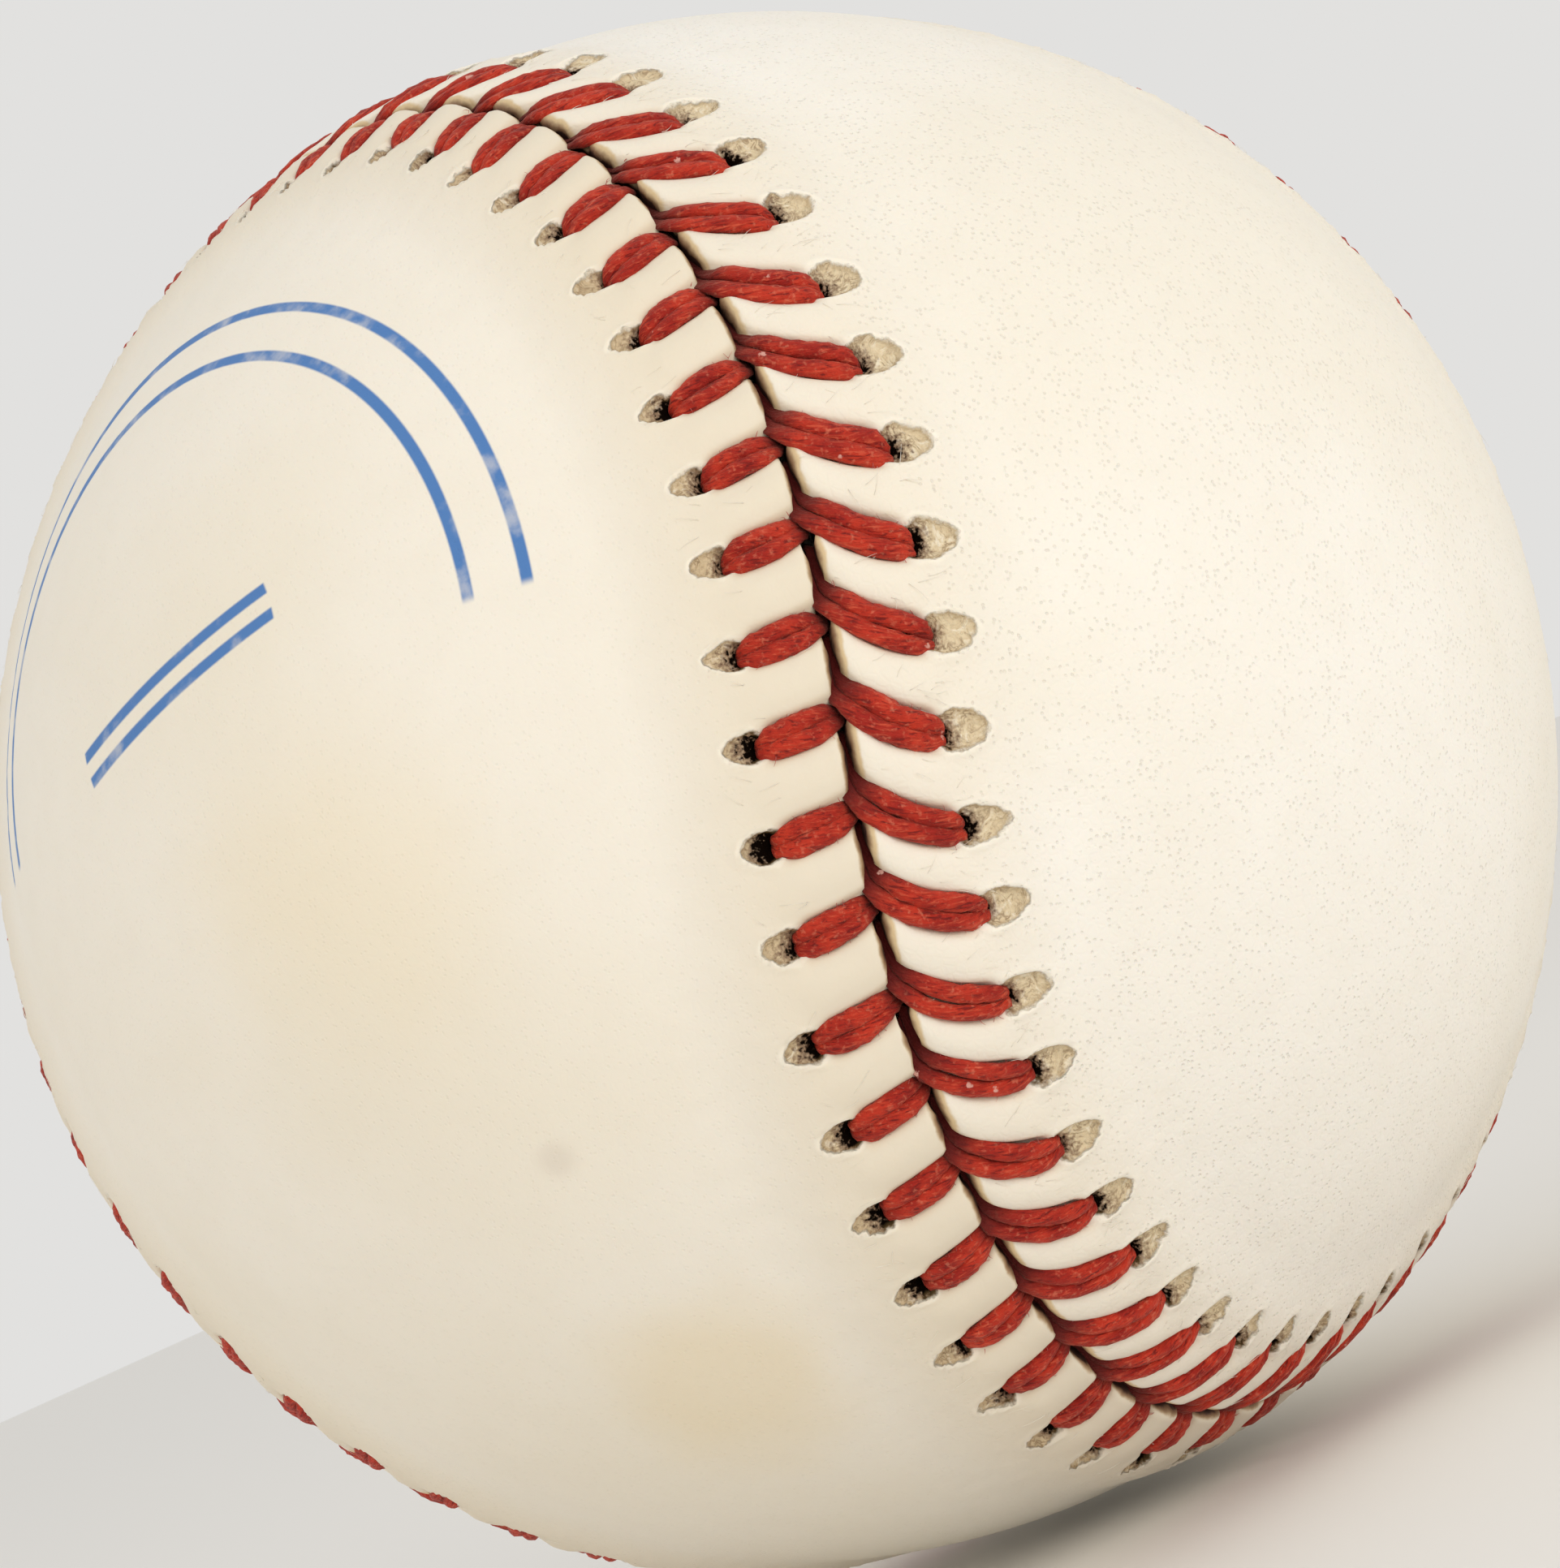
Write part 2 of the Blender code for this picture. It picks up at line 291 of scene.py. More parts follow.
def leather_height(panel, across, offset, reach, swell):
    """Height above the bare ball, for a place measured across its stitch and off the seam."""
    away = np.abs(across)
    beyond = offset - reach
    ridge = RIDGE * (1.0 - smooth(4.3, 8.6, offset))
    pillow = (PILLOW + swell) * smooth(0.8, 1.7, away) * (1.0 - smooth(2.6, 4.6, offset))
    half = panel["half_leg"]
    hollow = HOLLOW * smooth(half + 0.26, half - 0.24, away) * (1.0 - smooth(-0.6, 0.3, beyond))
    rim = slot_distance(panel["slot"], across, beyond)
    slot = 0.30 * smooth(1.05, 0.78, rim) - 0.07 * np.exp(-(((rim - 1.18) / 0.14) ** 2))
    slot *= smooth(-0.5, 0.2, beyond)
    hole = 0.75 * np.exp(-((across / 0.42) ** 2) - ((beyond - 0.16) / 0.34) ** 2)
    rise = np.clip((offset - panel["slit"]) / (panel["cut"] + 0.30), 0.0, 1.0)
    edge = (0.42 + panel["cut"]) * (1.0 - np.sqrt(1.0 - (1.0 - rise) ** 2.2))
    return ridge + pillow - hollow - slot - hole - edge


print("the ridge stands", RIDGE, "mm over the ball, and a stitch presses", HOLLOW, "mm into it")

# %% [markdown]
# The strip is a plain grid primitive with one row of columns for each stitch. Its corners carry a small
# table, called place, that the leather's finish reads: how far across the stitch they are, how far beyond its
# hole, and how far off the seam.

# %% Build the strip of leather beside the seam
def shake(points, size, seed):
    """Smooth noise from -1 to 1 for points in metres, with features about size mm across."""
    start = Vector((seed * 7.3, seed * 3.1, seed * 5.7))
    scale = 1.0 / (size * MM)
    return np.array([noise.noise(Vector(p) * scale + start) for p in points])


def seam_strip(name, panel):
    """One panel's leather from inside the slit to the end of the strip, laid on the ball."""
    places = np.array(COLUMN_PLACES)
    columns = len(places) * STITCHES
    rows = len(WALL_ROWS) + len(TOP_ROWS)
    bpy.ops.mesh.primitive_grid_add(x_subdivisions=columns, y_subdivisions=rows - 1, size=1.0)
    strip = bpy.context.object
    strip.name = name
    mesh = strip.data
    flat = np.zeros(len(mesh.vertices) * 3)
    mesh.vertices.foreach_get("co", flat)
    flat = flat.reshape(-1, 3)
    column = np.rint((flat[:, 0] + 0.5) * columns).astype(int)
    row = np.rint((flat[:, 1] + 0.5) * (rows - 1)).astype(int)
    stitch = column // len(places)
    across = places[column % len(places)]
    this = stitch % STITCHES
    reach = panel["reach"] + panel["stretch"][this] * np.exp(-((across / 1.3) ** 2))
    depth = np.concatenate([[h for _, h in WALL_ROWS], np.zeros(len(TOP_ROWS))])[row]
    # The knife's cut wanders a little round the ball, and each thread draws the edge in under it.
    round_ball = 2.0 * math.pi * column / columns
    wobble = 0.05 * np.sin(round_ball * 22.0) + 0.04 * np.sin(round_ball * 65.0 + 1.0)
    offset = panel["slit"] + np.concatenate([[w for w, _ in WALL_ROWS], TOP_ROWS])[row]
    scallop = 0.16 * (1.0 - smooth(0.9, 1.7, np.abs(across)))
    offset = offset + (wobble + scallop) * (1.0 - smooth(0.3, 1.4, offset))
    calm = 1.0 - (across / (PITCH / 2.0)) ** 2
    along = (panel["first"] + stitch) * PITCH + across + panel["nudge"][this] * calm
    along += lean_at(panel, offset, panel["reach"])
    swell = panel["swell"][this] * calm
    height = leather_height(panel, across, np.maximum(offset, panel["slit"]), reach, swell)
    height = np.where(depth < 0.0, depth, height)
    points = lay_on_ball(along, panel["side"] * offset, height)
    # Leather is never quite even, so smooth noise shifts its top by a few hundredths of a mm.
    bump = shake(points, 1.1, panel["side"] + 3) * 0.035 + shake(points, 0.45, panel["side"] + 9) * 0.02
    points += points / (COVER_RADIUS * MM) * (bump * MM * (depth == 0.0))[:, None]
    mesh.vertices.foreach_set("co", points.ravel())
    # A face that ends on the border belongs to the stitch before, so there its place counts up to +PITCH / 2.
    corner_vertex = np.zeros(len(mesh.loops), dtype=int)
    mesh.loops.foreach_get("vertex_index", corner_vertex)
    start = across[corner_vertex].reshape(-1, 4)
    last = (start.max(axis=1) == COLUMN_PLACES[-1]) & (start.min(axis=1) == COLUMN_PLACES[0])
    start[last] = np.where(start[last] < 0.0, PITCH / 2.0, start[last])
    beyond, off_seam = (offset - reach)[corner_vertex], (offset + depth)[corner_vertex]
    place = np.column_stack([start.ravel(), beyond, off_seam])
    mesh.attributes.new("place", "FLOAT_VECTOR", "CORNER").data.foreach_set("vector", place.ravel())
    return strip, points.reshape(-1, 3), column, row, columns, rows


print("each stitch has", len(COLUMN_PLACES) * (len(WALL_ROWS) + len(TOP_ROWS) - 1), "faces of leather")

# %% [markdown]
# ## The rest of each panel
# Inside its laced edge a panel is simply a piece of the ball. Seen from the far side of the ball, through its
# middle, a panel can be unrolled flat without a fold, so it is filled there with triangles between evenly
# spread points, and these are put back on the ball. The same is done once more, coarser, for the rough side
# that faces the yarn. The three sheets share their edges and are welded into one closed skin.

# %% Fill the panel and weld its sheets
LEATHER_INSIDE = 35.85
FIELD_CLEAR = 0.7
ROUGH_CLEAR = 1.5
WELD = 0.004
NOT_AT_A_STITCH = (1.9, 9.0, 20.0)


def spread_points(side, clear, subdivisions, radius):
    """Evenly spread points of one panel that lie at least clear mm inside its edge."""
    bpy.ops.mesh.primitive_ico_sphere_add(subdivisions=subdivisions, radius=1.0)
    ball = bpy.context.object
    spots = np.array([v.co.normalized() for v in ball.data.vertices])
    bpy.data.objects.remove(ball)
    line, sides = seam[::4], sideways[::4]
    nearest = np.argmax(spots @ line.T, axis=1)
    gap = np.arccos(np.clip(np.sum(spots * line[nearest], axis=1), -1.0, 1.0)) * COVER_RADIUS
    inside = np.sign(np.sum(spots * sides[nearest], axis=1)) * side
    return spots[(inside > 0) & (gap > clear)] * radius * MM


def new_piece(name, corners, polygons):
    """A new object in the scene, made of these corners and polygons."""
    mesh = bpy.data.meshes.new(name)
    mesh.from_pydata(corners, [], polygons)
    piece = bpy.data.objects.new(name, mesh)
    bpy.context.scene.collection.objects.link(piece)
    return piece


def fill_sheet(name, edge, spots, side):
    """Fills a closed edge with triangles between the given points. The panel's own side faces the far pole."""
    points = np.vstack([edge, spots])
    unit = points / np.linalg.norm(points, axis=1)[:, None]
    flat = unit[:, :2] / (1.0 + side * unit[:, 2:])
    outline = [(i, (i + 1) % len(edge)) for i in range(len(edge))]
    filled = geometry.delaunay_2d_cdt([Vector(p) for p in flat], outline, [], 1, 1e-9)
    corners = [points[sources[0]] for sources in filled[3]]
    sheet = new_piece(name, corners, filled[2])
    place = np.tile(NOT_AT_A_STITCH, len(sheet.data.loops))
    sheet.data.attributes.new("place", "FLOAT_VECTOR", "CORNER").data.foreach_set("vector", place)
    return sheet


def pick(*objects):
    """Selects only these, with the first as the active one."""
    bpy.ops.object.select_all(action="DESELECT")
    for obj in objects:
        obj.select_set(True)
    bpy.context.view_layer.objects.active = objects[0]


def face_outward(piece):
    """Turns every face of the piece outward and shades it smooth."""
    pick(piece)
    bpy.ops.object.mode_set(mode="EDIT")
    bpy.ops.mesh.select_all(action="SELECT")
    bpy.ops.mesh.normals_make_consistent(inside=False)
    bpy.ops.object.mode_set(mode="OBJECT")
    bpy.ops.object.shade_smooth()


def cover_leather(letter):
    """The whole panel, welded from its strip, its field and its rough side."""
    panel = PANELS[letter]
    strip, points, column, row, columns, rows = seam_strip("leather_panel_" + letter, panel)
    order = np.argsort(column, kind="stable")
    outer = [i for i in order if row[i] == rows - 1 and column[i] < columns]
    inner = [i for i in order if row[i] == 0 and column[i] < columns]
    field_spots = spread_points(panel["side"], STRIP_END + FIELD_CLEAR, 6, COVER_RADIUS)
    rough_spots = spread_points(panel["side"], ROUGH_CLEAR, 5, LEATHER_INSIDE)
    field = fill_sheet("field", points[outer], field_spots, panel["side"])
    rough = fill_sheet("rough_side", points[inner], rough_spots, panel["side"])
    pick(strip, field, rough)
    bpy.ops.object.join()
    bpy.ops.object.mode_set(mode="EDIT")
    bpy.ops.mesh.select_all(action="SELECT")
    bpy.ops.mesh.remove_doubles(threshold=WELD * MM)
    bpy.ops.object.mode_set(mode="OBJECT")
    face_outward(strip)
    return strip


leathers = {letter: cover_leather(letter) for letter in PANELS}
for letter, leather in leathers.items():
    open_edges = len(leather.data.edges) * 2 - sum(len(p.vertices) for p in leather.data.polygons)
    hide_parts("cover_panel_" + letter)
    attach(leather, "root")
    print(leather.name, "has", len(leather.data.polygons), "faces and", open_edges, "open edges")

# %% [markdown]
# ## The stitches
# The cover is sewn with one long waxed thread to each needle, and it lies doubled in each stitch: two round
# strands side by side, plump over the ridge, squeezed thin where they dive into the slit and into the hole.
# One strand is modelled flat, from a cylinder with eight sides that is cut across its length and smoothed by a
# subdivision surface. It is copied for each stitch, and each copy is bent along its own stitch's path. That
# keeps the model to one small shape, and no two stitches come out alike.

# %% Model one strand
RINGS = 13
SIDES = 8


def cut_across(shape, cuts):
    """Cuts the active shape across, by dividing the edges that run along its length."""
    bpy.ops.object.mode_set(mode="EDIT")
    bpy.ops.mesh.select_mode(type="EDGE")
    bpy.ops.mesh.select_all(action="DESELECT")
    bpy.ops.object.mode_set(mode="OBJECT")
    for edge in shape.data.edges:
        low, high = (shape.data.vertices[i].co.z for i in edge.vertices)
        edge.select = abs(high - low) > 0.5
    bpy.ops.object.mode_set(mode="EDIT")
    bpy.ops.mesh.subdivide(number_cuts=cuts)
    bpy.ops.object.mode_set(mode="OBJECT")


bpy.ops.object.select_all(action="DESELECT")
bpy.ops.mesh.primitive_cylinder_add(vertices=SIDES, radius=1.0, depth=1.0, end_fill_type="NGON")
strand = bpy.context.object
strand.name = "strand"
cut_across(strand, RINGS - 2)
smoothing = strand.modifiers.new("Round", "SUBSURF")
smoothing.levels = 1
smoothing.render_levels = 1
bpy.ops.object.modifier_apply(modifier=smoothing.name)
print("one strand has", len(strand.data.polygons), "faces")

# %% [markdown]
# A stitch's path is drawn by a few points: down in its hole, up over the lip, across the hollow, and down into
# the slit. Each point has five numbers in mm: its distance off the seam, its height, how thick the strand is
# there, how far each strand lies from the stitch's middle, and how far both are shifted along the seam.

# %% Bend the strand along every stitch
STITCH_PATH = {
    "a": (
        (4.16, -0.75, 0.22, 0.15, 0.16), (4.06, -0.28, 0.28, 0.21, 0.16), (3.88, 0.12, 0.33, 0.28, 0.13),
        (3.52, 0.38, 0.37, 0.35, 0.08), (3.02, 0.52, 0.385, 0.38, 0.03), (2.42, 0.58, 0.39, 0.39, 0.0),
        (1.80, 0.60, 0.39, 0.39, 0.0), (1.25, 0.57, 0.385, 0.39, 0.0), (0.78, 0.48, 0.375, 0.38, 0.0),
        (0.42, 0.33, 0.36, 0.36, 0.0), (0.16, 0.08, 0.33, 0.31, 0.0), (0.03, -0.22, 0.25, 0.20, 0.0),
        (-0.03, -0.50, 0.20, 0.12, 0.0),
    ),
    "b": (
        (3.56, -0.75, 0.20, 0.12, 0.08), (3.46, -0.28, 0.25, 0.18, 0.08), (3.26, 0.12, 0.30, 0.25, 0.07),
        (2.94, 0.33, 0.33, 0.31, 0.04), (2.52, 0.46, 0.345, 0.34, 0.02), (2.00, 0.52, 0.35, 0.35, 0.0),
        (1.50, 0.51, 0.345, 0.34, 0.0), (1.05, 0.42, 0.335, 0.32, 0.0), (0.68, 0.29, 0.32, 0.29, 0.0),
        (0.38, 0.09, 0.30, 0.25, 0.0), (0.16, -0.16, 0.26, 0.20, 0.0), (0.04, -0.44, 0.22, 0.15, 0.0),
        (0.00, -0.72, 0.19, 0.12, 0.0),
    ),
}
# Panel a's strands hook back a little over the slit, and all of them run on along it as they dive, both in mm.
HOOK = 0.35
TAIL = 1.5
# The plies turn by TWIST radians along a strand. A lump is a wave: times round the strand, radians along it.
TWIST = 5.4
LUMPS = ((1, 9.0), (2, 15.0), (3, 24.0), (2, 33.0), (4, 41.0), (5, 52.0), (3, 63.0), (6, 30.0))


def stitch_strand(letter, number, hand, template, chance):
    """One strand of one stitch. hand is -1 for the strand nearer the last stitch and 1 for the other."""
    panel = PANELS[letter]
    path = np.array(STITCH_PATH[letter])
    share = np.linspace(0.0, 1.0, len(path))
    t = template[:, 2] + 0.5
    off, high, thick, apart, shift = (np.interp(t, share, column) for column in path.T)
    stretch = 1.0 + panel["stretch"][number] / panel["reach"] * smooth(0.8, 3.0, off)
    reach = panel["reach"]
    lean = lean_at(panel, off, reach) - HOOK * smooth(0.35, -0.1, off) * (letter == "a")
    lean -= TAIL * smooth(0.84, 1.0, t)
    near = 0.01
    slope = (lean_at(panel, off + near, reach) - lean_at(panel, off - near, reach)) / (2.0 * near)
    length = np.sqrt(1.0 + slope**2)
    phases = chance.uniform(0.0, 2.0 * math.pi, len(LUMPS) + 2)
    wave = 0.035 * np.sin(phases[-1] + t * 7.0) + 0.02 * np.sin(phases[-2] + t * 15.0)
    plump = thick * (1.0 + panel["swell"][number] + chance.normal(0.0, 0.03))
    around = np.arctan2(template[:, 1], template[:, 0])
    lumps = 1.0 + sum(
        0.028 * np.sin(m * (around + TWIST * t) + k * t + phase) for (m, k), phase in zip(LUMPS, phases)
    )
    size = np.hypot(template[:, 0], template[:, 1])
    wide = size * np.cos(around) * plump * lumps * panel["girth"]
    upright = size * np.sin(around) * plump * lumps * 0.92
    rise = np.interp(t, share, np.clip(np.gradient(path[:, 1], path[:, 0]), -6.0, 6.0))
    tilt = np.arctan(rise)
    sideways_part = wide + hand * apart + shift + wave
    along = (panel["first"] + number) * PITCH + panel["nudge"][number] + lean + sideways_part / length
    offset = off * stretch - sideways_part * slope / length - upright * np.sin(tilt)
    height = high + chance.normal(0.0, 0.02) + upright * np.cos(tilt)
    twisted = around + TWIST * t
    fibre = np.column_stack([np.cos(twisted), np.sin(twisted), 4.6 * t + chance.uniform(0.0, 90.0)])
    return lay_on_ball(along, panel["side"] * offset, height), fibre, t


template = np.array([v.co for v in strand.data.vertices])
template[:, :2] /= np.hypot(template[:, 0], template[:, 1]).max()
faces = [list(p.vertices) for p in strand.data.polygons]
bpy.data.objects.remove(strand)


def sew(name, first):
    """The thread that starts on the panel called first, and takes every stitch on either panel in turn."""
    chance = np.random.default_rng(54 if first == "a" else 55)
    strands, polygons = [], []
    for number in range(STITCHES):
        letter = "ab"[(number + (first == "b")) % 2]
        for hand in (-1, 1):
            start = len(strands) * len(template)
            polygons += [[start + i for i in face] for face in faces]
            strands.append(stitch_strand(letter, number, hand, template, chance))
    points, fibres, shares = (np.concatenate(parts) for parts in zip(*strands))
    thread = new_piece(name, points, polygons)
    attributes = thread.data.attributes
    attributes.new("fibre", "FLOAT_VECTOR", "POINT").data.foreach_set("vector", fibres.ravel())
    attributes.new("share", "FLOAT", "POINT").data.foreach_set("value", shares)
    return thread


threads = {first: sew("laced_thread_" + first, first) for first in PANELS}
for first, thread in threads.items():
    face_outward(thread)
    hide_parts("seam_thread_" + first)
    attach(thread, "root")
    print(thread.name, "has", len(thread.data.polygons), "faces")

# %% [markdown]
# ## Stray fibres
# Close up, nothing along the seam is clean. The flesh side of the leather sheds fine white fibres where it was
# pulled and rubbed, mostly outside the stitches of panel a, and the thread is a little hairy. Blender's hair
# could grow them, but it leaves no mesh to export. One thin cone of three sides is modelled instead, and a bent
# copy of it is made for each fibre.

# %% Scatter the fibres
bpy.ops.mesh.primitive_cone_add(vertices=3, radius1=1.0, radius2=0.35, depth=1.0, end_fill_type="NGON")
cone = bpy.context.object
cut_across(cone, 3)
cone_points = np.array([v.co for v in cone.data.vertices])
cone_faces = [list(p.vertices) for p in cone.data.polygons]
bpy.data.objects.remove(cone)


def bent_fibre(root, heading, length, radius, lift, curl):
    """A fibre on the flat pattern: from its root, along its heading, arching up and curling to one side."""
    t = cone_points[:, 2] + 0.5
    ahead = np.array([math.cos(heading), math.sin(heading)])
    aside = np.array([-ahead[1], ahead[0]])
    path = root[:2] + np.outer(t * length, ahead) + np.outer(curl * t * t, aside)
    path += np.outer(cone_points[:, 0] * radius, aside)
    height = root[2] + lift * 4.0 * t * (1.0 - 0.8 * t) + cone_points[:, 1] * radius
    return path[:, 0], path[:, 1], height


def scatter(name, fibres):
    """One piece that holds all of these fibres, laid on the ball."""
    laid, polygons = [], []
    for fibre in fibres:
        start = len(laid) * len(cone_points)
        polygons += [[start + i for i in face] for face in cone_faces]
        laid.append(lay_on_ball(*bent_fibre(*fibre)))
    piece = new_piece(name, np.concatenate(laid), polygons)
    face_outward(piece)
    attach(piece, "root")
    print(name, "has", len(fibres), "fibres")
    return piece


FIBRE_REST = 0.012
THREAD_HEIGHT = 0.52


def surface_at(panel, number, across, offset):
    """The leather's height at a place on the flat pattern."""
    spot = np.array([across]), np.array([offset])
    return float(leather_height(panel, *spot, panel["reach"], panel["swell"][number])[0])


def leather_fibres(letter, count, seed):
    """White fibres on the pillows between the stitches, where the panel slopes down to its field."""
    panel, chance, fibres = PANELS[letter], np.random.default_rng(seed), []
    for number in range(STITCHES):
        for _ in range(count):
            across = chance.uniform(0.85, 1.9) * chance.choice([-1, 1])
            offset = chance.choice([chance.uniform(2.2, 4.4), chance.uniform(0.4, 2.2)], p=[0.8, 0.2])
            along = (panel["first"] + number) * PITCH + across + lean_at(panel, offset, panel["reach"])
            height = surface_at(panel, number, across, offset) + FIBRE_REST
            heading = panel["side"] * math.pi / 2.0 + chance.normal(0.0, 0.55)
            length = chance.uniform(0.35, 1.15)
            root = np.array([along, panel["side"] * offset, height])
            radius, lift = chance.uniform(0.010, 0.017), chance.uniform(0.004, 0.03)
            fibres.append((root, heading, length, radius, lift, chance.normal(0.0, 0.16)))
    return fibres


def thread_fibres(count, seed):
    """Short red fibres that stand off the sides of the stitches."""
    chance, fibres = np.random.default_rng(seed), []
    for panel in PANELS.values():
        for number in range(STITCHES):
            for _ in range(count):
                hand = chance.choice([-1, 1])
                offset = chance.uniform(0.5, panel["reach"] - 0.3)
                along = (panel["first"] + number) * PITCH + lean_at(panel, offset, panel["reach"])
                along += panel["nudge"][number] + hand * (panel["half_leg"] - 0.14)
                heading = hand * chance.normal(0.25, 0.45) + (math.pi if hand < 0 else 0.0)
                root = np.array([along, panel["side"] * offset, THREAD_HEIGHT + chance.normal(0.0, 0.06)])
                length = chance.uniform(0.14, 0.38)
                radius, lift = chance.uniform(0.013, 0.024), chance.uniform(0.01, 0.05)
                fibres.append((root, heading, length, radius, lift, chance.normal(0.0, 0.10)))
    return fibres


white_fibres = scatter("leather_fibres", leather_fibres("a", 9, 7) + leather_fibres("b", 3, 8))
red_fibres = scatter("thread_fibres", thread_fibres(13, 9))

# %% [markdown]
# ## How the finishes are mixed
# Each finish below is a base colour with one tint after another laid over it, and one height that becomes the
# bump that catches the light. Two small functions do this for them all.

# %% Tint a colour and coat a shader
MATH, RANGE, MIX = "ShaderNodeMath", "ShaderNodeMapRange", "ShaderNodeMix"
NOISE, CELLS, VECTOR = "ShaderNodeTexNoise", "ShaderNodeTexVoronoi", "ShaderNodeVectorMath"
SOFT = {"interpolation_type": "SMOOTHSTEP"}
COLOR = {"data_type": "RGBA"}
PLUS, MINUS, UNSIGNED = {"operation": "ADD"}, {"operation": "SUBTRACT"}, {"operation": "ABSOLUTE"}
TIMES, TIMES_PLUS = {"operation": "MULTIPLY"}, {"operation": "MULTIPLY_ADD"}


def tinted(tree, color, code, value, start, end, strength=1.0):
    """The colour with a tint laid over it, which comes in as the value goes from start to end."""
    amount = add_node(tree, RANGE, {0: value, 1: start, 2: end, 3: 0.0, 4: strength}, **SOFT)
    return add_node(tree, MIX, {0: amount, 6: color, 7: linear(code)}, **COLOR)


def coat(tree, shader, color, height, depth, strength, values):
    """Gives a shader its colour, a bump with this depth in mm, and the values of its other sockets."""
    bump = add_node(tree, "ShaderNodeBump", {"Height": height, "Distance": depth * MM, "Strength": strength})
    tree.links.new(first_output(color), shader.inputs["Base Color"])
    tree.links.new(bump.outputs["Normal"], shader.inputs["Normal"])
    for socket, value in values.items():
        shader.inputs[socket].default_value = value


print("each finish mixes its colour with tints and its relief with one bump")

# %% [markdown]
# ## Leather finish
# The cover is alum-tanned cowhide: nearly white, with a warm cast and a soft low gloss. Broad patches are warmer
# where hands and years have been. On panel a the hair pores still show as fine shallow pits; panel b is almost
# smooth. Each of the next functions adds one of these things to the leather's shader, and hands its result on.

# %% Mix the grain side
def leather_grain(tree, where, across, off_seam, panel, look):
    """The grain side of the hide: its colour with painted shade at the seam, the stitches and the pores, and how
    high it stands.
    """
    patches = add_node(tree, NOISE, {"Vector": where, "Scale": 1.0 / (35.0 * MM), "Detail": 3.0})
    color = tinted(tree, linear(look["fresh"]), look["warm"], patches, 0.38, 0.64)
    # Painted shade: the grain is tinted darker and warmer over the last few mm towards the seam.
    color = tinted(tree, color, look["painted_seam_shade"], off_seam, 8.8, 3.0, 0.55)
    # Painted shadow: a warm tan band along both sides of each stitch's hollow, under the thread, stands in for
    # the thread's soft shadow.
    aside = add_node(tree, MATH, {0: across}, **UNSIGNED)
    half = panel["half_leg"]
    beside = add_node(tree, RANGE, {0: aside, 1: half + 0.45, 2: half, 3: 0.0, 4: 0.4}, **SOFT)
    under = add_node(tree, RANGE, {0: off_seam, 1: panel["reach"] + 0.2, 2: panel["reach"] - 0.6}, **SOFT)
    beside = add_node(tree, MATH, {0: beside, 1: under}, **TIMES)
    color = add_node(tree, MIX, {0: beside, 6: color, 7: linear("D9C5A2")}, **COLOR)
    mottle = add_node(tree, NOISE, {"Vector": where, "Scale": 1.0 / (2.4 * MM), "Detail": 5.0})
    color = tinted(tree, color, "E2D9C6", mottle, 0.35, 0.75, 0.11)
    # Real pores are about 0.1 mm across; these are 0.2 mm, the finest that still show.
    wavy = add_node(tree, NOISE, {"Vector": where, "Scale": 1.0 / (0.5 * MM), "Detail": 1.0})
    bent = add_node(tree, VECTOR, {0: wavy.outputs["Color"], "Scale": 0.16 * MM}, operation="SCALE")
    bent = add_node(tree, VECTOR, {0: where, 1: bent}, **PLUS)
    pores = add_node(tree, CELLS, {"Vector": bent, "Scale": 1.0 / (0.27 * MM)})
    pit = add_node(tree, RANGE, {0: pores, 1: 0.32, 2: 0.08}, **SOFT)
    clusters = add_node(tree, NOISE, {"Vector": where, "Scale": 1.0 / (1.1 * MM), "Detail": 2.0})
    present = add_node(tree, RANGE, {0: clusters, 1: 0.24, 2: 0.52}, **SOFT)
    pit = add_node(tree, MATH, {0: pit, 1: present}, **TIMES)
    open_field = add_node(tree, RANGE, {0: off_seam, 1: 3.2, 2: 5.2, 3: 0.0, 4: look["pores"]}, **SOFT)
    pit = add_node(tree, MATH, {0: pit, 1: open_field}, **TIMES)
    # Painted shade: the pits are darkened in colour for the shade inside them, on top of the bump.
    painted_pore_shade = add_node(tree, MATH, {0: pit, 1: 0.13}, **TIMES)
    color = add_node(tree, MIX, {0: painted_pore_shade, 6: color, 7: linear("BDB3A0")}, **COLOR)
    creases = add_node(tree, CELLS, {"Vector": bent, "Scale": 1.0 / (0.42 * MM)}, feature="DISTANCE_TO_EDGE")
    height = add_node(tree, RANGE, {0: creases, 1: 0.0, 2: 0.22, 3: 0.0, 4: 0.2 * look["pores"]}, **SOFT)
    height = add_node(tree, MATH, {0: pit, 1: -0.9, 2: height}, **TIMES_PLUS)
    height = add_node(tree, MATH, {0: mottle, 1: 0.5, 2: height}, **TIMES_PLUS)
    return color, height
